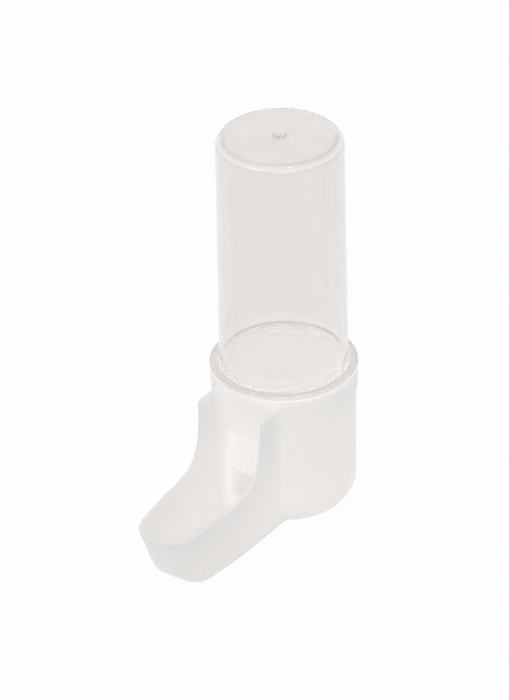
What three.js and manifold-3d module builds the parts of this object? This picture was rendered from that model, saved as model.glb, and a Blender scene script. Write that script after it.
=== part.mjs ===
// Siphon drinker for a bird cage: a clear water tube that stands upside down in a white trough base.
// Millimetres, +Z up. The origin is on the tube's axis at the base's underside; the trough points to -Y.
import * as THREE from 'three';
import { mergeVertices } from 'three/addons/utils/BufferGeometryUtils.js';
import Module from 'manifold-3d';

const wasm = await Module();
wasm.setup();

// Facets
const TURN_STEPS = 80;          // round a full turn
const ARC_STEPS = 6;            // in a rounded edge
const SWEEP_STEPS = 18;         // along the rim's sweep from cheek to lip
const SIDE_STEPS = 9;           // along each side of the trough
const TOE_STEPS = 8;            // round each corner of the toe
const FLARE_STEPS = 8;          // up the slope below the rim band
const EDGE_ROUND = 0.3;         // broken edges of rims and flanges

// Water tube, above its flange
const TUBE_RADIUS = 19.5;       // outside, where it meets the flange
const TUBE_TAPER = 0.45;        // radius lost from the flange to the top, so that it leaves its mould
const TUBE_WALL = 1.2;          // at the top
const TUBE_HEIGHT = 77;         // flange's upper face to the closed top
const TOP_THICKNESS = 1.5;
const TOP_EDGE_RADIUS = 3;      // outside rounding between wall and top
const CEILING_EDGE_RADIUS = 2.4;   // the same inside
const GATE_RADIUS = 2.3;        // low dome that the moulding gate leaves on the top
const GATE_HEIGHT = 0.9;

// Flange and spigot of the tube
const FLANGE_THICKNESS = 1.2;
const FLANGE_OVERHANG = 0.1;    // past the base's rim band
const FLANGE_FILLET = 0.4;
const STEP_RISE = 1.4;          // flange's upper face to the step inside, where the bore narrows
const STEP_WIDTH = 0.5;         // radius that the bore loses there
const SPIGOT_LENGTH = 31.1;     // flange's underside to the open end, which sets the water level
const SPIGOT_STEP = 0.4;        // spigot's radius below the tube's
const SPIGOT_TAPER = 0.15;
const SPIGOT_END_WALL = 0.9;

// Cup of the base
const FIT_CLEARANCE = 0.6;      // spigot to cup, all round: a loose fit that lifts out by hand
const BASE_HEIGHT = 46.9;       // underside to the rim that carries the flange
const CUP_WALL = 1.95;          // at the rim
const CUP_TAPER = 0.4;          // radius lost outside from the rim to the bottom rounding
const CUP_EDGE_RADIUS = 8;      // outside rounding of the cup's bottom
const FLOOR = 1.8;              // cup and trough
const RIM_BAND_HEIGHT = 4.9;
const RIM_BAND_PROUD = 0.65;
const RIM_BAND_FLARE = 7.5;     // height of the eased slope below the band

// Trough of the base
const TROUGH_WALL = 1.4;
const TROUGH_LENGTH = 47.45;    // cup's front to the lip
const TROUGH_WIDTH = 23.8;      // outside, beside the cup
const TROUGH_DRAFT = 1.4;       // degrees, sides drawn in towards the underside
const TOE_NARROWING = 2.3;      // each side in plan, from the cup to the toe
const TAPER_POWER = 3;          // how late the sides turn in on their way to the toe
const TOE_CORNER_RADIUS = 6;    // in plan, at the lip
const LIP_DEPTH = 5.5;          // lip back to the start of the rim's sweep
const LIP_HEIGHT = 21.1;
const FRONT_SETBACK = 10;       // underside's toe behind the lip
const SIDE_EDGE_RADIUS = 4;     // outside rounding along the underside, beside the cup
const TOE_EDGE_RADIUS = 6.5;    // the same at the toe
const JUNCTION_FILLET = 0.8;    // trough's sides into the cup, outside
const CORNER_FILLET = 4;        // trough's sides into the cup's front, inside
const CHEEK_LENGTH = 7.05;      // cup's front to the cheeks' front edge
const CHEEK_DROP = 2.5;         // rim to the cheeks' top
const CHEEK_CORNER_RADIUS = 1.5;
const SWEEP_FALL = 26.5;        // handle of the rim's sweep below the cheek's corner
const SWEEP_RUN = 23.5;         // handle of the rim's sweep behind the lip
const LIP_SLOPE = 7.5;          // degrees, rim's fall where it reaches the lip
const WINDOW_WIDTH = 15.2;      // opening from the cup to the trough
const TONGUE_DROP = 15.4;       // rim to the window's upper edge

// Sizes that follow from those
const tubeTopRadius = TUBE_RADIUS - TUBE_TAPER;
const spigotRadius = TUBE_RADIUS - SPIGOT_STEP;
const spigotEndRadius = spigotRadius - SPIGOT_TAPER;
const boreTopRadius = tubeTopRadius - TUBE_WALL;
const boreFootRadius = TUBE_RADIUS - TUBE_WALL;
const boreMouthRadius = boreFootRadius - STEP_WIDTH;
const boreEndRadius = spigotEndRadius - SPIGOT_END_WALL;
const cupRadius = spigotRadius + FIT_CLEARANCE + CUP_WALL;
const cupFootRadius = cupRadius - CUP_TAPER;
const bandRadius = cupRadius + RIM_BAND_PROUD;
const flangeRadius = bandRadius + FLANGE_OVERHANG;
const lipReach = cupRadius + TROUGH_LENGTH;
const toeReach = lipReach - LIP_DEPTH;
const cheekReach = cupRadius + CHEEK_LENGTH;
const cheekTop = BASE_HEIGHT - CHEEK_DROP;
const troughBack = cupRadius - CUP_WALL - TROUGH_WIDTH / 2;   // inside the cup, behind its front wall
const frontLean = Math.atan2(FRONT_SETBACK, LIP_HEIGHT);
const CUT_MARGIN = 5;           // how far cutting shapes run past what they cut

// A solid for joining and cutting, from a closed geometry.
function solidFrom(geometry) {
  const bare = geometry.index ? geometry.toNonIndexed() : geometry.clone();
  bare.deleteAttribute('normal');
  bare.deleteAttribute('uv');
  const merged = mergeVertices(bare, 1e-4);
  const corners = merged.index.array;
  const kept = [];
  for (let i = 0; i < corners.length; i += 3) {
    const [a, b, c] = [corners[i], corners[i + 1], corners[i + 2]];
    if (a !== b && b !== c && c !== a) kept.push(a, b, c);
  }
  return new wasm.Manifold(new wasm.Mesh({
    numProp: 3,
    vertProperties: new Float32Array(merged.attributes.position.array),
    triVerts: new Uint32Array(kept),
  }));
}

function geometryFrom(solid) {
  const mesh = solid.getMesh();
  const geometry = new THREE.BufferGeometry();
  geometry.setAttribute('position', new THREE.BufferAttribute(mesh.vertProperties, 3));
  geometry.setIndex(new THREE.BufferAttribute(mesh.triVerts, 1));
  geometry.computeVertexNormals();
  return geometry;
}

function point(x, y) {
  return new THREE.Vector2(x, y);
}

// Points of a circular arc, with its angles in degrees, ends included.
function arc(x, y, radius, from, to, steps = ARC_STEPS) {
  const points = [];
  for (let i = 0; i <= steps; i += 1) {
    const angle = THREE.MathUtils.degToRad(from + (to - from) * i / steps);
    points.push(point(x + radius * Math.cos(angle), y + radius * Math.sin(angle)));
  }
  return points;
}

// A turned solid from a profile of radius and height that runs anticlockwise round the material.
function turned(profile) {
  return solidFrom(new THREE.LatheGeometry(profile, TURN_STEPS).rotateX(Math.PI / 2));
}

// A solid through plan outlines that all have the same number of points, lowest first.
function lofted(outlines, heights) {
  const count = outlines[0].length;
  const position = [];
  const index = [];
  outlines.forEach((outline, level) => {
    for (const p of outline) position.push(p.x, p.y, heights[level]);
  });
  for (let level = 0; level + 1 < outlines.length; level += 1) {
    for (let i = 0; i < count; i += 1) {
      const a = level * count + i;
      const b = level * count + (i + 1) % count;
      index.push(a, b, b + count, a, b + count, a + count);
    }
  }
  const top = (outlines.length - 1) * count;
  for (const [a, b, c] of THREE.ShapeUtils.triangulateShape(outlines[0], [])) {
    index.push(c, b, a);
  }
  for (const [a, b, c] of THREE.ShapeUtils.triangulateShape(outlines[outlines.length - 1], [])) {
    index.push(top + a, top + b, top + c);
  }
  const geometry = new THREE.BufferGeometry();
  geometry.setAttribute('position', new THREE.Float32BufferAttribute(position, 3));
  geometry.setIndex(index);
  return solidFrom(geometry);
}

// Clear tube: closed top, straight draft and a step inside, flange and open spigot, in one profile.
function reservoirTube() {
  const end = BASE_HEIGHT - SPIGOT_LENGTH;
  const flangeTop = BASE_HEIGHT + FLANGE_THICKNESS;
  const top = flangeTop + TUBE_HEIGHT;
  const ceiling = top - TOP_THICKNESS;
  const ceilingEdge = point(boreTopRadius - CEILING_EDGE_RADIUS, ceiling - CEILING_EDGE_RADIUS);
  const step = flangeTop + STEP_RISE;
  const endRound = Math.min(EDGE_ROUND, SPIGOT_END_WALL / 3);
  const gateCurve = (GATE_RADIUS ** 2 + GATE_HEIGHT ** 2) / (2 * GATE_HEIGHT);
  const gateSlope = THREE.MathUtils.radToDeg(Math.asin(GATE_RADIUS / gateCurve));
  const profile = [
    point(0, ceiling),
    ...arc(ceilingEdge.x, ceilingEdge.y, CEILING_EDGE_RADIUS, 90, 0),
    point(boreFootRadius, step + STEP_WIDTH / 2),
    point(boreMouthRadius, step - STEP_WIDTH / 2),
    point(boreEndRadius, end + endRound),
    point(boreEndRadius + endRound, end),
    point(spigotEndRadius - endRound, end),
    point(spigotEndRadius, end + endRound),
    point(spigotRadius, BASE_HEIGHT),
    point(flangeRadius - EDGE_ROUND, BASE_HEIGHT),
    point(flangeRadius, BASE_HEIGHT + EDGE_ROUND),
    ...arc(flangeRadius - EDGE_ROUND, flangeTop - EDGE_ROUND, EDGE_ROUND, 0, 90, 3),
    ...arc(TUBE_RADIUS + FLANGE_FILLET, flangeTop + FLANGE_FILLET, FLANGE_FILLET, 270, 180),
    ...arc(tubeTopRadius - TOP_EDGE_RADIUS, top - TOP_EDGE_RADIUS, TOP_EDGE_RADIUS, 0, 90),
    ...arc(0, top + GATE_HEIGHT - gateCurve, gateCurve, 90 - gateSlope, 90),
  ];
  return turned(profile);
}

// Outside of the cup, solid, with its rim band and the eased slope below it.
function cupBody() {
  const flareFoot = BASE_HEIGHT - RIM_BAND_HEIGHT - RIM_BAND_FLARE;
  const flare = [];
  for (let i = 0; i <= FLARE_STEPS; i += 1) {
    const share = i / FLARE_STEPS;
    const radius = cupRadius + RIM_BAND_PROUD * THREE.MathUtils.smoothstep(share, 0, 1);
    flare.push(point(radius, flareFoot + RIM_BAND_FLARE * share));
  }
  return turned([
    point(0, 0),
    ...arc(cupFootRadius - CUP_EDGE_RADIUS, CUP_EDGE_RADIUS, CUP_EDGE_RADIUS, 270, 360),
    ...flare,
    point(bandRadius, BASE_HEIGHT - EDGE_ROUND),
    point(bandRadius - EDGE_ROUND, BASE_HEIGHT),
    point(0, BASE_HEIGHT),
  ]);
}

// Space inside the cup: it follows the spigot with the fit's clearance, then rounds into the floor.
function cupSpace() {
  const end = BASE_HEIGHT - SPIGOT_LENGTH;
  const mouth = spigotRadius + FIT_CLEARANCE;
  const foot = spigotEndRadius + FIT_CLEARANCE;
  const edge = Math.min(CUP_EDGE_RADIUS - CUP_WALL, end - FLOOR);
  return turned([
    point(0, FLOOR),
    ...arc(foot - edge, FLOOR + edge, edge, 270, 360),
    point(foot, end),
    point(mouth, BASE_HEIGHT),
    point(mouth, BASE_HEIGHT + CUT_MARGIN),
    point(0, BASE_HEIGHT + CUT_MARGIN),
  ]);
}

// How far a place in front of the tube's axis is on the way from the cup to the toe, eased.
function towardsToe(distance) {
  return Math.max((distance - cupRadius) / (toeReach - cupRadius), 0) ** TAPER_POWER;
}

// Half the trough's outside width at a distance in front of the tube's axis and a height.
function troughHalfWidth(distance, height) {
  const draft = (cheekTop - height) * Math.tan(THREE.MathUtils.degToRad(TROUGH_DRAFT));
  return TROUGH_WIDTH / 2 - draft - TOE_NARROWING * towardsToe(distance);
}

// How far the rounding along the underside draws the wall in at a rise above the underside.
function edgeInset(distance, rise, wall) {
  const share = Math.min(towardsToe(distance), 1);
  const radius = SIDE_EDGE_RADIUS + (TOE_EDGE_RADIUS - SIDE_EDGE_RADIUS) * share - wall;
  const drop = Math.max(radius - rise, 0);
  return radius - Math.sqrt(radius ** 2 - drop ** 2);
}

// Plan points that round the trough's side into the cup outside, as added half width and distance.
function outerCorner() {
  const x = TROUGH_WIDTH / 2 + JUNCTION_FILLET;
  const y = Math.sqrt((cupRadius + JUNCTION_FILLET) ** 2 - x ** 2);
  const touch = THREE.MathUtils.radToDeg(Math.atan2(-y, -x));
  const corner = arc(JUNCTION_FILLET, y, JUNCTION_FILLET, touch, -180);
  return [point(corner[0].x, troughBack), ...corner];
}

// The same inside, where the corner between the side and the cup's front is filled.
function innerCorner() {
  const x = TROUGH_WIDTH / 2 - TROUGH_WALL - CORNER_FILLET;
  const y = Math.sqrt((cupRadius + CORNER_FILLET) ** 2 - x ** 2);
  const touch = THREE.MathUtils.radToDeg(Math.atan2(-y, -x));
  return arc(-CORNER_FILLET, y, CORNER_FILLET, touch, 0);
}

// Plan outline of the trough at a height, a wall in from the outside, anticlockwise from above.
function troughOutline(height, bottom, wall, corner) {
  const rise = Math.max(height - bottom, 0);
  const toeInset = wall + edgeInset(toeReach, rise, wall);
  const front = lipReach - FRONT_SETBACK * (1 - height / LIP_HEIGHT);
  const toeRadius = Math.max(TOE_CORNER_RADIUS - toeInset, EDGE_ROUND);
  const toeStart = front - toeInset / Math.cos(frontLean) - toeRadius;
  const halfWidth = (distance) => (
    troughHalfWidth(distance, height) - wall - edgeInset(distance, rise, wall)
  );
  const right = corner.map((p) => point(halfWidth(p.y) + p.x, -p.y));
  const start = corner[corner.length - 1].y;
  for (let i = 1; i < SIDE_STEPS; i += 1) {
    const distance = start + (toeStart - start) * i / SIDE_STEPS;
    right.push(point(halfWidth(distance), -distance));
  }
  right.push(...arc(halfWidth(toeStart) - toeRadius, -toeStart, toeRadius, 0, -90, TOE_STEPS));
  const left = right.map((p) => point(-p.x, p.y)).reverse();
  return [...right, ...left].reverse();
}

// The trough's outside or inside as a loft: rounded along its underside, straight above.
function troughLoft(bottom, top, wall, corner) {
  const tallest = TOE_EDGE_RADIUS - wall;
  const heights = arc(0, bottom + tallest, tallest, 270, 360).map((p) => p.y);
  heights.push(LIP_HEIGHT, top);
  return lofted(heights.map((height) => troughOutline(height, bottom, wall, corner)), heights);
}

// Side view of the cheeks and the rim's sweep down to the lip, across the trough's whole width.
function sideProfile() {
  const lipStart = point(toeReach, LIP_HEIGHT);
  const slope = THREE.MathUtils.degToRad(LIP_SLOPE);
  const cornerFoot = cheekTop - CHEEK_CORNER_RADIUS;
  const shape = new THREE.Shape();
  shape.moveTo(troughBack - CUT_MARGIN, -CUT_MARGIN);
  shape.lineTo(lipReach + CUT_MARGIN, -CUT_MARGIN);
  shape.lineTo(lipReach + CUT_MARGIN, LIP_HEIGHT);
  shape.lineTo(lipStart.x, lipStart.y);
  shape.bezierCurveTo(
    lipStart.x - SWEEP_RUN * Math.cos(slope), lipStart.y + SWEEP_RUN * Math.sin(slope),
    cheekReach, cornerFoot - SWEEP_FALL,
    cheekReach, cornerFoot,
  );
  shape.absarc(cheekReach - CHEEK_CORNER_RADIUS, cornerFoot, CHEEK_CORNER_RADIUS, 0, Math.PI / 2);
  shape.lineTo(troughBack - CUT_MARGIN, cheekTop);
  shape.closePath();
  const width = TROUGH_WIDTH + 2 * JUNCTION_FILLET + 2 * CUT_MARGIN;
  const geometry = new THREE.ExtrudeGeometry(shape, {
    depth: width, bevelEnabled: false, curveSegments: SWEEP_STEPS,
  });
  geometry.translate(0, 0, -width / 2);
  const across = new THREE.Matrix4().makeBasis(
    new THREE.Vector3(0, -1, 0), new THREE.Vector3(0, 0, 1), new THREE.Vector3(-1, 0, 0),
  );
  return solidFrom(geometry.applyMatrix4(across));
}

// Box between two heights, across the tube's axis and forwards to a reach.
function frontBox(width, reach, from, to) {
  return solidFrom(
    new THREE.BoxGeometry(width, reach, to - from).translate(0, -reach / 2, (from + to) / 2),
  );
}

// White base: cup and trough joined, then hollowed; the cup's front wall stays above the window.
function troughBase() {
  const cup = cupBody();
  const tongueFoot = BASE_HEIGHT - TONGUE_DROP;
  const outside = troughLoft(0, cheekTop, 0, outerCorner()).intersect(sideProfile());
  const tongue = cup.intersect(frontBox(2 * bandRadius, bandRadius, tongueFoot, BASE_HEIGHT));
  const inside = troughLoft(FLOOR, BASE_HEIGHT, TROUGH_WALL, innerCorner()).subtract(tongue);
  const opening = frontBox(WINDOW_WIDTH, cheekReach, FLOOR, tongueFoot);
  return cup.add(outside).subtract(cupSpace()).subtract(inside).subtract(opening);
}

function piece(name, solid, material) {
  const mesh = new THREE.Mesh(geometryFrom(solid), new THREE.MeshStandardMaterial(material));
  mesh.name = name;
  return mesh;
}

const drinker = new THREE.Group();
drinker.add(piece('reservoir_tube', reservoirTube(), {
  color: 0xe6e6e4, roughness: 0.08, metalness: 0, transparent: true, opacity: 0.35,
}));
drinker.add(piece('trough_base', troughBase(), { color: 0xefebe6, roughness: 0.4, metalness: 0 }));

export default drinker;
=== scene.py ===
"""Looks for a siphon drinker: a clear water tube that stands upside down in a white trough base."""

import math

import bpy
import numpy as np
from mathutils import Matrix, Vector


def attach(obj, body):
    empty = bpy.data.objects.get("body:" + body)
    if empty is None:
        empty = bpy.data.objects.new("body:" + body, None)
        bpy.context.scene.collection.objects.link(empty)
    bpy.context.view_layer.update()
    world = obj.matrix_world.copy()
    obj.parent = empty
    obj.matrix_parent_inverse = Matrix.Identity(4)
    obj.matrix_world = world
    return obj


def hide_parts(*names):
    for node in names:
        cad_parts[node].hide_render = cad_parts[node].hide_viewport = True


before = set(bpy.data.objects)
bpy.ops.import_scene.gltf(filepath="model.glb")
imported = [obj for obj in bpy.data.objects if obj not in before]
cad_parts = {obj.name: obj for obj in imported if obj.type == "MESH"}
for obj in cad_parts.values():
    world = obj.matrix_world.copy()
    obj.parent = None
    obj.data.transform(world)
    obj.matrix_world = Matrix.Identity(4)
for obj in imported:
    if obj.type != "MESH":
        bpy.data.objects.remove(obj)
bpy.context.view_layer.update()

MM = 0.001

# Water tube, in millimetres, as in the solids
TUBE_RADIUS = 19.5
TUBE_TOP_RADIUS = 19.05
TUBE_WALL = 1.2
TUBE_TOP = 125.1
TOP_THICKNESS = 1.5
TOP_EDGE_RADIUS = 3.0
CEILING_EDGE_RADIUS = 2.4
GATE_RADIUS = 2.3
GATE_HEIGHT = 0.9
FLANGE_RADIUS = 22.4
FLANGE_FOOT = 46.9
FLANGE_TOP = 48.1
FLANGE_FILLET = 0.4
FLANGE_EDGE = 0.35
SPIGOT_RADIUS = 19.1
STEP_HEIGHT = 49.5
STEP_WIDTH = 0.5
SPIGOT_END_RADIUS = 18.95
SPIGOT_END = 15.8
SPIGOT_END_WALL = 0.9
SPIGOT_FILLET = 0.25

# Rows of the tube's mesh
TURN_STEPS = 320
STRAIGHT_SHARES = np.linspace(0.02, 0.98, 14)   # along each straight stretch
GATE_ANGLES = np.linspace(0.05, 1.55, 14)       # up the gate's dome, in radians
GATE_MARGIN = 0.2                               # a row round the dome, which keeps the top flat
END_MARGIN = 1.0                                # straight bore to the spigot's end
FILLET_ROW_INSET = 0.002                        # a row below the spigot's fillet keeps the wall straight
FILLET_ROW_DROP = 0.6

# Base, in millimetres, as in the solids
RIM = 46.87                     # just below the flange, which rests on it
CUP_RADIUS = 21.65
CUP_TAPER = 0.4
CUP_EDGE_RADIUS = 8.0
CUP_MOUTH = 19.7
CUP_FOOT = 19.55
CUP_INNER_EDGE = 6.2
CUP_RIM_ROUND = 0.4
FLOOR = 1.8
BAND_PROUD = 0.65
BAND_FOOT = 34.5
BAND_TOP = 42.0
TROUGH_WALL = 1.4
TROUGH_HALF = 11.9
TROUGH_DRAFT = math.tan(math.radians(1.4))
TOE_NARROWING = 2.3
TAPER_POWER = 3
TAPER_LIMIT = 1.6               # share of the way to the toe at which the narrowing stops
TOE_REACH = 63.6
TOE_CORNER = 6.0
LIP_REACH = 69.1
LIP_HEIGHT = 21.1
FRONT_SETBACK = 10.0
SIDE_EDGE_RADIUS = 4.0
TOE_EDGE_RADIUS = 6.5
CORNER_FILLET = 4.0
JUNCTION_FILLET = 0.8
CHEEK_REACH = 28.7
CHEEK_TOP = 44.4
CHEEK_CORNER = 1.5
SWEEP_FALL = 26.5
SWEEP_RUN = 23.5
SWEEP_POINTS = 41
LIP_SLOPE = math.radians(7.5)
RIM_OVERRUN = 20.0              # rim's side view past the lip and behind the axis
WINDOW_HALF = 7.6
TONGUE_FOOT = 31.5
RIM_ROUND = 0.55
WINDOW_ROUND = 0.4

# Grid of the base's mesh, as right, ahead and up, in millimetres
CELL = 0.45
GRID_LOW = (-24, -24, -1.2)
GRID_HIGH = (24, 71, 48.5)
SETTLE_ROUNDS = 3
SLOPE_STEP = 0.02
LEAST_SLOPE_SQUARED = 0.25
TIE = 1e-9                      # distances closer than this are equal

# Painted grey shade on the tube, for dark surroundings seen in and through the clear wall: radii and heights
# in millimetres between which each part of it fades in
GREY_WALL_RADII = (18.5, 18.9)
GREY_TOP_HEIGHTS = (123.9, 124.9)
GREY_FOOT_HEIGHTS = (FLANGE_TOP - 5, FLANGE_TOP + 6)
# painted shade: a darker band on the top's rounded edge
GREY_EDGE_RADII = (15.8, 17.2)
GREY_EDGE_HEIGHTS = (122.3, 123.6)
# painted shade: the flange greyed, as its dark outline
GREY_FLANGE_RADII = (19.4, 20.0)
GREY_FLANGE_HEIGHTS = (FLANGE_FOOT - 0.6, FLANGE_TOP)
# painted shade: a grey ring round the gate's foot, for the dark sides of its dome
GREY_GATE_RADII = (1.0, 1.7)
GREY_GATE_HEIGHTS = (125.14, 125.3)
NOISE_LOW, NOISE_HIGH = 0.3, 0.7    # most of a noise texture lies between these

# Camera: angles in degrees, distance in metres, the rest in pixels of a picture 509 wide and 700 tall
CAMERA_AZIMUTH = 35.2
CAMERA_ELEVATION = 32
CAMERA_ROLL = 1.3
CAMERA_DISTANCE = 1.506
FOCAL_PIXELS = 5000
PICTURE_HEIGHT = 700
FLANGE_RIGHT = 29.4             # middle of the flange's upper face from the middle of the picture
FLANGE_BELOW = 8.2
SENSOR_WIDTH = 36

# Studio, in metres and watts
WORLD_STRENGTH = 0.595
PAPER_HALF = 4.0
PAPER_DROP = 0.0001             # below the base's underside
PAPER_WHITE = 0.95              # share of plain white in what the camera sees of the floor
LAMP_DISTANCE = 1.2
LAMP_AIM = Vector((0, 0, 0.06))
FRONT_LAMP_SIZE = (0.5, 0.4)
FRONT_LAMPS = (                 # azimuth and elevation in degrees, power
    ("left", -30, 55, 1.35),
    ("middle", 37, 57, 0.68),
    ("right", 60, 52, 0.65),
)
STRIP_LAMPS = (                 # elevation in degrees, distance aside, width, length, power
    ("left_strip", 77, -0.22, 0.1, 0.34, 0.47),
    ("right_strip", 77, 0.22, 0.1, 0.34, 0.47),
    ("middle_strip", 84, 0.03, 0.12, 0.2, 0.32),
)
CLEAR_BOUNCES = 256             # for light that runs on inside the clear wall
DIFFUSE_BOUNCES = 24


def mesh_object(name, points, faces):
    """A smooth-shaded mesh from points in millimetres."""
    mesh = bpy.data.meshes.new(name)
    mesh.from_pydata([tuple(MM * c for c in p) for p in points], [], faces)
    mesh.update()
    mesh.polygons.foreach_set("use_smooth", [True] * len(mesh.polygons))
    made = bpy.data.objects.new(name, mesh)
    bpy.context.scene.collection.objects.link(made)
    return made


def arc(x, y, radius, start, end, steps=10):
    """Points of a circular arc, its angles in degrees, ends included."""
    angles = np.radians(np.linspace(start, end, steps + 1))
    return [(x + radius * math.cos(a), y + radius * math.sin(a)) for a in angles]


def straight(start, end):
    """Points along a straight stretch of a profile, its ends left out."""
    (x0, y0), (x1, y1) = start, end
    return [(x0 + (x1 - x0) * t, y0 + (y1 - y0) * t) for t in STRAIGHT_SHARES]


def tube_profile():
    """Radius and height round the tube's wall, from the ceiling inside to the top outside."""
    bore_top = TUBE_TOP_RADIUS - TUBE_WALL
    bore_foot = TUBE_RADIUS - TUBE_WALL
    bore_mouth = bore_foot - STEP_WIDTH
    bore_end = SPIGOT_END_RADIUS - SPIGOT_END_WALL
    ceiling_edge = TUBE_TOP - TOP_THICKNESS - CEILING_EDGE_RADIUS
    step_round = STEP_WIDTH / 2
    end_round = SPIGOT_END_WALL / 2
    flange_edge = FLANGE_RADIUS - FLANGE_EDGE
    wall_foot = FLANGE_TOP + FLANGE_FILLET
    wall_top = TUBE_TOP - TOP_EDGE_RADIUS
    gate = [(GATE_RADIUS * math.cos(a), TUBE_TOP + GATE_HEIGHT * math.sin(a)) for a in GATE_ANGLES]
    return [
        *arc(bore_top - CEILING_EDGE_RADIUS, ceiling_edge, CEILING_EDGE_RADIUS, 90, 0, steps=16),
        *straight((bore_top, ceiling_edge), (bore_foot, STEP_HEIGHT + step_round)),
        *arc(bore_foot - step_round, STEP_HEIGHT + step_round, step_round, 0, -90, steps=5),
        *arc(bore_mouth + step_round, STEP_HEIGHT - step_round, step_round, 90, 180, steps=5)[1:],
        *straight((bore_mouth, STEP_HEIGHT - step_round), (bore_end, SPIGOT_END + END_MARGIN)),
        *arc(bore_end + end_round, SPIGOT_END + end_round, end_round, 180, 360),
        (SPIGOT_RADIUS - FILLET_ROW_INSET, FLANGE_FOOT - FILLET_ROW_DROP),
        *arc(SPIGOT_RADIUS + SPIGOT_FILLET, FLANGE_FOOT - SPIGOT_FILLET, SPIGOT_FILLET, 180, 90, steps=4),
        *arc(flange_edge, FLANGE_FOOT + FLANGE_EDGE, FLANGE_EDGE, 270, 360),
        *arc(flange_edge, FLANGE_TOP - FLANGE_EDGE, FLANGE_EDGE, 0, 90),
        *arc(TUBE_RADIUS + FLANGE_FILLET, wall_foot, FLANGE_FILLET, 270, 180),
        *straight((TUBE_RADIUS, wall_foot), (TUBE_TOP_RADIUS, wall_top)),
        *arc(TUBE_TOP_RADIUS - TOP_EDGE_RADIUS, wall_top, TOP_EDGE_RADIUS, 0, 90, steps=40),
        (GATE_RADIUS + GATE_MARGIN, TUBE_TOP),
        *gate,
    ]


def turned(name, profile):
    """A closed turned mesh, with flat discs on the first and the last row of its profile."""
    points = []
    faces = []
    steps = TURN_STEPS
    for radius, height in profile:
        for i in range(steps):
            angle = 2 * math.pi * i / steps
            points.append((radius * math.cos(angle), radius * math.sin(angle), height))
    for row in range(len(profile) - 1):
        for i in range(steps):
            a = row * steps + i
            b = row * steps + (i + 1) % steps
            faces.append((a, b, b + steps, a + steps))
    for row, height in ((0, profile[0][1]), (len(profile) - 1, profile[-1][1])):
        centre = len(points)
        points.append((0, 0, height))
        for i in range(steps):
            a = row * steps + i
            b = row * steps + (i + 1) % steps
            faces.append((centre, b, a) if row == 0 else (centre, a, b))
    return mesh_object(name, points, faces)


def both(a, b, radius):
    """Inside both fields, with the edge between them rounded."""
    a = a + radius
    b = b + radius
    corner = np.hypot(np.maximum(a, 0), np.maximum(b, 0))
    return np.minimum(np.maximum(a, b), 0) + corner - radius


def either(a, b, radius):
    """Inside either field, with the corner between them filled."""
    return -both(-a, -b, radius)


def rim_line():
    """Side view of the cheeks and the rim's sweep to the lip, as distance in front of the axis and height."""
    corner_foot = CHEEK_TOP - CHEEK_CORNER
    handles = np.array([
        (TOE_REACH, LIP_HEIGHT),
        (TOE_REACH - SWEEP_RUN * math.cos(LIP_SLOPE), LIP_HEIGHT + SWEEP_RUN * math.sin(LIP_SLOPE)),
        (CHEEK_REACH, corner_foot - SWEEP_FALL),
        (CHEEK_REACH, corner_foot),
    ])
    t = np.linspace(0, 1, SWEEP_POINTS)[:, None]
    sweep = ((1 - t) ** 3 * handles[0] + 3 * (1 - t) ** 2 * t * handles[1]
             + 3 * (1 - t) * t ** 2 * handles[2] + t ** 3 * handles[3])
    corner = arc(CHEEK_REACH - CHEEK_CORNER, corner_foot, CHEEK_CORNER, 0, 90)
    front = (LIP_REACH + RIM_OVERRUN, LIP_HEIGHT)
    back = (-RIM_OVERRUN, CHEEK_TOP)
    return np.array([front, *map(tuple, sweep), *corner[1:], back])


RIM_LINE = rim_line()


def below_rim(ahead, height):
    """Signed distance to the rim's side view: negative below it."""
    nearest = np.full(ahead.shape, np.inf)
    side = np.zeros(ahead.shape)
    for (x0, y0), (x1, y1) in zip(RIM_LINE[:-1], RIM_LINE[1:]):
        dx, dy = x1 - x0, y1 - y0
        t = np.clip(((ahead - x0) * dx + (height - y0) * dy) / (dx * dx + dy * dy), 0, 1)
        gap = np.hypot(ahead - x0 - t * dx, height - y0 - t * dy)
        closer = gap < nearest - TIE
        cross = (height - y0) * dx - (ahead - x0) * dy
        side = np.where(closer, np.where(cross < 0, 1.0, -1.0), side)
        nearest = np.where(closer, gap, nearest)
    return nearest * side


def trough_field(x, ahead, height, wall, bottom):
    """The trough's outside, or its inside with a wall's thickness taken off."""
    share = np.clip((ahead - CUP_RADIUS) / (TOE_REACH - CUP_RADIUS), 0, TAPER_LIMIT) ** TAPER_POWER
    half = TROUGH_HALF - (CHEEK_TOP - height) * TROUGH_DRAFT - TOE_NARROWING * share
    lean = math.atan2(FRONT_SETBACK, LIP_HEIGHT)
    reach = LIP_REACH - FRONT_SETBACK * (1 - height / LIP_HEIGHT)
    sides = np.abs(x) - half + wall
    front = (ahead - reach) * math.cos(lean) + wall
    edge = SIDE_EDGE_RADIUS + (TOE_EDGE_RADIUS - SIDE_EDGE_RADIUS) * np.minimum(share, 1) - wall
    plan = both(sides, front, TOE_CORNER - wall)
    return both(plan, bottom - height, edge)


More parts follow.
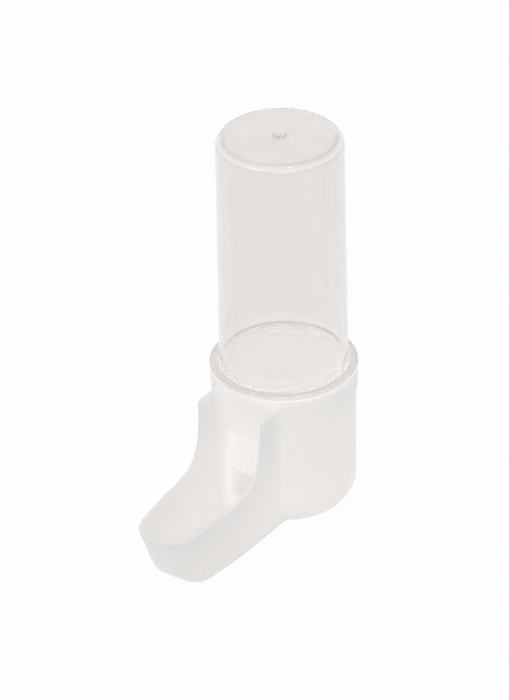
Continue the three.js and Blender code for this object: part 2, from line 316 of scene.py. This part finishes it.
def base_field(x, ahead, height):
    """Signed distance, nearly, to the base's surface in millimetres: negative in the plastic."""
    round_axis = np.hypot(x, ahead)
    rise = np.clip((height - BAND_FOOT) / (BAND_TOP - BAND_FOOT), 0, 1)
    band = BAND_PROUD * rise * rise * (3 - 2 * rise)
    outer = CUP_RADIUS - CUP_TAPER * np.clip(1 - height / BAND_FOOT, 0, 1) + band
    cup = both(round_axis - outer, -height, CUP_EDGE_RADIUS)
    cup = both(cup, height - RIM, CUP_RIM_ROUND)
    trough = both(trough_field(x, ahead, height, 0, 0), below_rim(ahead, height), RIM_ROUND)
    trough = np.maximum(trough, -ahead)
    body = np.maximum(either(cup, trough, JUNCTION_FILLET), -height)
    mouth = CUP_MOUTH - (CUP_MOUTH - CUP_FOOT) * np.clip((RIM - height) / (RIM - SPIGOT_END), 0, 1)
    well = both(round_axis - mouth, FLOOR - height, CUP_INNER_EDGE)
    basin = trough_field(x, ahead, height, TROUGH_WALL, FLOOR)
    basin = both(basin, outer - round_axis, CORNER_FILLET)
    window = np.maximum(np.abs(x) - WINDOW_HALF, np.maximum(FLOOR - height, height - TONGUE_FOOT))
    window = np.maximum(window, np.maximum(ahead - CHEEK_REACH, -ahead))
    hollow = np.minimum(well, either(basin, window, WINDOW_ROUND))
    return both(body, -hollow, RIM_ROUND)


def crossed_cells(value):
    """A point in each grid cell that the surface crosses, and each cell's point by number, or -1."""
    shape = tuple(n - 1 for n in value.shape)
    total = np.zeros(shape + (3,))
    count = np.zeros(shape)
    near = [slice(None, -1), slice(1, None)]
    for axis in range(3):
        others = [k for k in range(3) if k != axis]
        for i, j in np.ndindex(2, 2):
            start = [None] * 3
            start[axis], start[others[0]], start[others[1]] = near[0], near[i], near[j]
            stop = list(start)
            stop[axis] = near[1]
            a = value[tuple(start)]
            b = value[tuple(stop)]
            cut = (a < 0) != (b < 0)
            offset = np.zeros(shape + (3,))
            offset[..., axis] = np.where(cut, a / np.where(cut, a - b, 1), 0)
            offset[..., others[0]] = i
            offset[..., others[1]] = j
            total += np.where(cut[..., None], offset, 0)
            count += cut
    crossed = count > 0
    cells = np.argwhere(crossed)
    points = np.array(GRID_LOW) + CELL * (cells + total[crossed] / count[crossed][:, None])
    number = np.full(shape, -1)
    number[crossed] = np.arange(len(cells))
    return points, number


def crossed_quads(inside, number):
    """A quad round each grid edge that the surface crosses, facing out of the plastic."""
    quads = []
    for axis in range(3):
        u, v = [k for k in range(3) if k != axis]
        start = [slice(1, -1)] * 3
        start[axis] = slice(None, -1)
        stop = [slice(1, -1)] * 3
        stop[axis] = slice(1, None)
        edges = np.argwhere(inside[tuple(start)] != inside[tuple(stop)])
        edges[:, u] += 1
        edges[:, v] += 1
        outwards = inside[tuple(edges.T)]
        corners = []
        for du, dv in ((0, 0), (-1, 0), (-1, -1), (0, -1)):
            cell = edges.copy()
            cell[:, u] += du
            cell[:, v] += dv
            corners.append(number[tuple(cell.T)])
        made = np.stack(corners, 1)
        flip = outwards if axis == 1 else ~outwards
        made[flip] = made[flip][:, ::-1]
        quads.append(made)
    return np.concatenate(quads)


def settled(field, points):
    """Points moved along a field's slope onto its zero surface."""
    for _ in range(SETTLE_ROUNDS):
        slope = np.stack([
            field(*(points + step).T) - field(*(points - step).T) for step in SLOPE_STEP * np.eye(3)
        ], 1) / (2 * SLOPE_STEP)
        size = np.maximum((slope ** 2).sum(1), LEAST_SLOPE_SQUARED)
        move = slope * (field(*points.T) / size)[:, None]
        points = points - np.clip(move, -CELL / 2, CELL / 2)
    return points


def surface(field):
    """Points and quads on a field's zero surface."""
    axes = [np.arange(low, high + CELL, CELL) for low, high in zip(GRID_LOW, GRID_HIGH)]
    value = field(*np.meshgrid(*axes, indexing="ij"))
    points, number = crossed_cells(value)
    return settled(field, points), crossed_quads(value < 0, number)


def trough_base():
    """The base as one smooth moulding; the field's distance ahead runs towards -Y."""
    points, quads = surface(base_field)
    points[:, 1] *= -1
    return mesh_object("base_moulding", points.tolist(), quads[:, ::-1].tolist())


def links(tree, *pairs):
    """Links from outputs to inputs."""
    for a, b in pairs:
        tree.links.new(a, b)


def noise(tree, scale, detail, roughness, stretch=(1, 1, 1)):
    """A noise texture on the piece's own coordinates, in metres."""
    place = tree.nodes.new("ShaderNodeTexCoord")
    mapping = tree.nodes.new("ShaderNodeMapping")
    mapping.inputs["Scale"].default_value = stretch
    made = tree.nodes.new("ShaderNodeTexNoise")
    made.inputs["Scale"].default_value = scale
    made.inputs["Detail"].default_value = detail
    made.inputs["Roughness"].default_value = roughness
    links(tree,
          (place.outputs["Object"], mapping.inputs["Vector"]),
          (mapping.outputs["Vector"], made.inputs["Vector"]))
    return made.outputs["Fac"]


def ramp(tree, source, *stops):
    """Colours spread over a source, from stops of position and colour."""
    made = tree.nodes.new("ShaderNodeValToRGB")
    elements = made.color_ramp.elements
    for element, (position, colour) in zip(elements, (stops[0], stops[-1])):
        element.position = position
        element.color = (*colour, 1)
    for position, colour in stops[1:-1]:
        elements.new(position).color = (*colour, 1)
    links(tree, (source, made.inputs["Fac"]))
    return made.outputs["Color"]


def spread(tree, source, at_low, at_high):
    """A noise's usual range, taken to two numbers."""
    made = tree.nodes.new("ShaderNodeMapRange")
    made.inputs["From Min"].default_value = NOISE_LOW
    made.inputs["From Max"].default_value = NOISE_HIGH
    made.inputs["To Min"].default_value = at_low
    made.inputs["To Max"].default_value = at_high
    links(tree, (source, made.inputs["Value"]))
    return made.outputs["Result"]


def between(tree, source, span):
    """0 to 1 as a length rises between two values in millimetres."""
    low, high = span
    made = tree.nodes.new("ShaderNodeMapRange")
    made.inputs["From Min"].default_value = low * MM
    made.inputs["From Max"].default_value = high * MM
    links(tree, (source, made.inputs["Value"]))
    return made.outputs["Result"]


def joined(tree, operation, a, b):
    """Two values joined by a math operation."""
    made = tree.nodes.new("ShaderNodeMath")
    made.operation = operation
    links(tree, (a, made.inputs[0]), (b, made.inputs[1]))
    return made.outputs[0]


def larger(tree, a, b):
    """The larger of two values."""
    return joined(tree, "MAXIMUM", a, b)


def product(tree, a, b):
    """Two values multiplied."""
    return joined(tree, "MULTIPLY", a, b)


def bump(tree, source, strength, distance, under=None):
    """A normal that follows a height, over another normal if one is given."""
    made = tree.nodes.new("ShaderNodeBump")
    made.inputs["Strength"].default_value = strength
    made.inputs["Distance"].default_value = distance
    links(tree, (source, made.inputs["Height"]))
    if under is not None:
        links(tree, (under, made.inputs["Normal"]))
    return made.outputs["Normal"]


def material(name):
    """A new material, its node tree and its shader."""
    made = bpy.data.materials.new(name)
    made.use_nodes = True
    tree = made.node_tree
    return made, tree, tree.nodes["Principled BSDF"]


def radius_and_height(tree):
    """Distance from the tube's axis and height, in metres."""
    place = tree.nodes.new("ShaderNodeTexCoord")
    parts = tree.nodes.new("ShaderNodeSeparateXYZ")
    flat = tree.nodes.new("ShaderNodeCombineXYZ")
    radius = tree.nodes.new("ShaderNodeVectorMath")
    radius.operation = "LENGTH"
    links(tree,
          (place.outputs["Object"], parts.inputs[0]),
          (parts.outputs["X"], flat.inputs["X"]),
          (parts.outputs["Y"], flat.inputs["Y"]),
          (flat.outputs[0], radius.inputs[0]))
    return radius.outputs["Value"], parts.outputs["Z"]


def painted_grey_shade(tree, flow):
    """Painted shade on the clear plastic: grey outside above the flange, more on the flange and round the
    gate, for dark surroundings seen in and through the wall.
    """
    out, up = radius_and_height(tree)
    shade_share = larger(tree, between(tree, out, GREY_WALL_RADII), between(tree, up, GREY_TOP_HEIGHTS))
    above = between(tree, up, GREY_FOOT_HEIGHTS)
    flange = product(tree, between(tree, up, GREY_FLANGE_HEIGHTS), between(tree, out, GREY_FLANGE_RADII))
    edge = product(tree, between(tree, up, GREY_EDGE_HEIGHTS), between(tree, out, GREY_EDGE_RADII))
    gate = product(tree, between(tree, up, GREY_GATE_HEIGHTS), between(tree, out, GREY_GATE_RADII))
    shade_share = joined(tree, "ADD", shade_share, product(tree, edge, spread(tree, flow, at_low=0.30, at_high=0.25)))
    grey = product(tree, product(tree, shade_share, above), spread(tree, flow, at_low=0.65, at_high=0.55))
    grey = larger(tree, grey, product(tree, flange, spread(tree, flow, at_low=0.80, at_high=0.72)))
    return larger(tree, grey, product(tree, gate, spread(tree, flow, at_low=0.95, at_high=0.85)))


def clear_plastic():
    """Moulded clear polystyrene: faint flow streaks and haze, and a painted grey shade outside."""
    made, tree, shader = material("clear_plastic")
    flow = noise(tree, scale=90, detail=3, roughness=0.55, stretch=(1, 1, 0.12))
    haze = noise(tree, scale=700, detail=4, roughness=0.6, stretch=(1, 1, 0.3))
    # clear where nothing is painted; grey for the painted shade, darkest round the gate
    colour = ramp(tree, painted_grey_shade(tree, flow),
                  (0, (1.0, 0.998, 0.996)), (0.6, (0.775, 0.744, 0.727)), (1, (0.40, 0.38, 0.37)))
    wave = bump(tree, flow, strength=0.008, distance=0.0003)
    normal = bump(tree, haze, strength=0.002, distance=0.0001, under=wave)
    links(tree,
          (colour, shader.inputs["Base Color"]),
          (spread(tree, haze, at_low=0.03, at_high=0.07), shader.inputs["Roughness"]),
          (normal, shader.inputs["Normal"]))
    shader.inputs["IOR"].default_value = 1.57
    shader.inputs["Transmission Weight"].default_value = 1.0
    return made


def white_plastic():
    """Moulded translucent polypropylene: satin, warm white, faintly clouded by its flow."""
    made, tree, shader = material("white_plastic")
    cloud = noise(tree, scale=55, detail=4, roughness=0.55)
    grain = noise(tree, scale=2600, detail=3, roughness=0.6)
    scuff = noise(tree, scale=240, detail=5, roughness=0.65, stretch=(1, 1, 0.35))
    colour = ramp(tree, cloud, (NOISE_LOW, (0.970, 0.955, 0.944)), (NOISE_HIGH, (0.979, 0.967, 0.958)))
    wave = bump(tree, cloud, strength=0.12, distance=0.0006)
    normal = bump(tree, grain, strength=0.12, distance=0.00012, under=wave)
    links(tree,
          (colour, shader.inputs["Base Color"]),
          (spread(tree, scuff, at_low=0.30, at_high=0.46), shader.inputs["Roughness"]),
          (normal, shader.inputs["Normal"]))
    shader.inputs["IOR"].default_value = 1.49
    shader.inputs["Subsurface Weight"].default_value = 1.0
    shader.inputs["Subsurface Radius"].default_value = (1.0, 1.0, 1.0)
    shader.inputs["Subsurface Scale"].default_value = 0.010
    return made


def seen(tree):
    """1 for what the camera sees directly, in a mirror or through glass."""
    path = tree.nodes.new("ShaderNodeLightPath").outputs
    unbent = larger(tree, path["Is Camera Ray"], path["Is Glossy Ray"])
    return larger(tree, unbent, path["Is Transmission Ray"])


def surroundings():
    """A world that shows as plain white and lights the object more softly."""
    world = bpy.data.worlds.new("surroundings")
    world.use_nodes = True
    tree = world.node_tree
    tree.nodes.clear()
    shown = tree.nodes.new("ShaderNodeBackground")
    shown.inputs["Color"].default_value = (1, 1, 1, 1)
    lighting = tree.nodes.new("ShaderNodeBackground")
    lighting.inputs["Color"].default_value = (1, 0.99, 0.98, 1)
    lighting.inputs["Strength"].default_value = WORLD_STRENGTH
    mix = tree.nodes.new("ShaderNodeMixShader")
    out = tree.nodes.new("ShaderNodeOutputWorld")
    links(tree,
          (seen(tree), mix.inputs[0]),
          (lighting.outputs[0], mix.inputs[1]),
          (shown.outputs[0], mix.inputs[2]),
          (mix.outputs[0], out.inputs["Surface"]))
    bpy.context.scene.world = world


def paper():
    """Pale paper that is nearly white to the camera and still takes the object's shadow."""
    made = bpy.data.materials.new("paper")
    made.use_nodes = True
    tree = made.node_tree
    tree.nodes.clear()
    matt = tree.nodes.new("ShaderNodeBsdfDiffuse")
    matt.inputs["Color"].default_value = (0.94, 0.94, 0.935, 1)
    white = tree.nodes.new("ShaderNodeEmission")
    white.inputs["Color"].default_value = (1, 1, 1, 1)
    share = tree.nodes.new("ShaderNodeMath")
    share.operation = "MULTIPLY"
    share.inputs[1].default_value = PAPER_WHITE
    mix = tree.nodes.new("ShaderNodeMixShader")
    out = tree.nodes.new("ShaderNodeOutputMaterial")
    links(tree,
          (seen(tree), share.inputs[0]),
          (share.outputs[0], mix.inputs[0]),
          (matt.outputs[0], mix.inputs[1]),
          (white.outputs[0], mix.inputs[2]),
          (mix.outputs[0], out.inputs["Surface"]))
    return made


def floor():
    """A wide flat sheet of paper under the object."""
    mesh = bpy.data.meshes.new("floor")
    corners = [(x * PAPER_HALF, y * PAPER_HALF, 0) for x, y in ((-1, -1), (1, -1), (1, 1), (-1, 1))]
    mesh.from_pydata(corners, [], [(0, 1, 2, 3)])
    mesh.materials.append(paper())
    made = bpy.data.objects.new("floor", mesh)
    made.location.z = -PAPER_DROP
    bpy.context.scene.collection.objects.link(made)


def towards_viewer(azimuth, elevation):
    """Direction from the object to a viewer at these angles in degrees; azimuth 0 looks along +Y."""
    a, e = math.radians(azimuth), math.radians(elevation)
    return Vector((math.sin(a) * math.cos(e), -math.cos(a) * math.cos(e), math.sin(e)))


def level_right(azimuth):
    """Direction to that viewer's right."""
    a = math.radians(azimuth)
    return Vector((math.cos(a), math.sin(a), 0))


def lamp(name, azimuth, elevation, aside, width, length, power):
    """A soft oblong lamp that points at the object, moved aside."""
    back = towards_viewer(azimuth, elevation)
    data = bpy.data.lights.new(name, "AREA")
    data.shape = "RECTANGLE"
    data.size = width
    data.size_y = length
    data.energy = power
    made = bpy.data.objects.new(name, data)
    made.location = LAMP_AIM + back * LAMP_DISTANCE + level_right(azimuth) * aside
    made.rotation_mode = "QUATERNION"
    made.rotation_quaternion = (-back).to_track_quat("-Z", "Y")
    bpy.context.scene.collection.objects.link(made)
    return made


def lamps():
    """Wide lamps in front, kept out of reflections, and overhead strips, not seen through the tube."""
    for name, azimuth, elevation, power in FRONT_LAMPS:
        made = lamp(name, azimuth, elevation, 0, *FRONT_LAMP_SIZE, power)
        made.visible_glossy = False
    for name, elevation, aside, width, length, power in STRIP_LAMPS:
        made = lamp(name, CAMERA_AZIMUTH, elevation, aside, width, length, power)
        made.visible_transmission = False


def camera():
    """The photograph's camera: a long lens, a little rolled, with the flange right of the middle."""
    roll = math.radians(CAMERA_ROLL)
    pixels_per_metre = FOCAL_PIXELS / CAMERA_DISTANCE
    back = towards_viewer(CAMERA_AZIMUTH, CAMERA_ELEVATION)
    level = level_right(CAMERA_AZIMUTH)
    upright = back.cross(level)
    right = level * math.cos(roll) - upright * math.sin(roll)
    up = upright * math.cos(roll) + level * math.sin(roll)
    flange = Vector((0, 0, FLANGE_TOP * MM))
    middle = flange - right * (FLANGE_RIGHT / pixels_per_metre) + up * (FLANGE_BELOW / pixels_per_metre)
    turn = Matrix((right, up, back)).transposed().to_quaternion()
    data = bpy.data.cameras.new("camera")
    data.sensor_width = SENSOR_WIDTH
    data.lens = FOCAL_PIXELS / PICTURE_HEIGHT * data.sensor_width
    made = bpy.data.objects.new("camera", data)
    made.matrix_world = Matrix.LocRotScale(middle + back * CAMERA_DISTANCE, turn, None)
    bpy.context.scene.collection.objects.link(made)
    bpy.context.scene.camera = made


def light_paths():
    """Sharp reflections, and enough bounces for the clear wall and the white plastic."""
    cycles = bpy.context.scene.cycles
    cycles.blur_glossy = 0
    cycles.max_bounces = CLEAR_BOUNCES
    cycles.diffuse_bounces = DIFFUSE_BOUNCES
    cycles.glossy_bounces = CLEAR_BOUNCES
    cycles.transmission_bounces = CLEAR_BOUNCES


tube = turned("tube_moulding", tube_profile())
tube.data.materials.append(clear_plastic())
tube.visible_shadow = False
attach(tube, "tube")
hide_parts("reservoir_tube")

base = trough_base()
base.data.materials.append(white_plastic())
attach(base, "base")
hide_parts("trough_base")

surroundings()
floor()
lamps()
camera()
light_paths()
bpy.context.scene.view_settings.view_transform = "Standard"
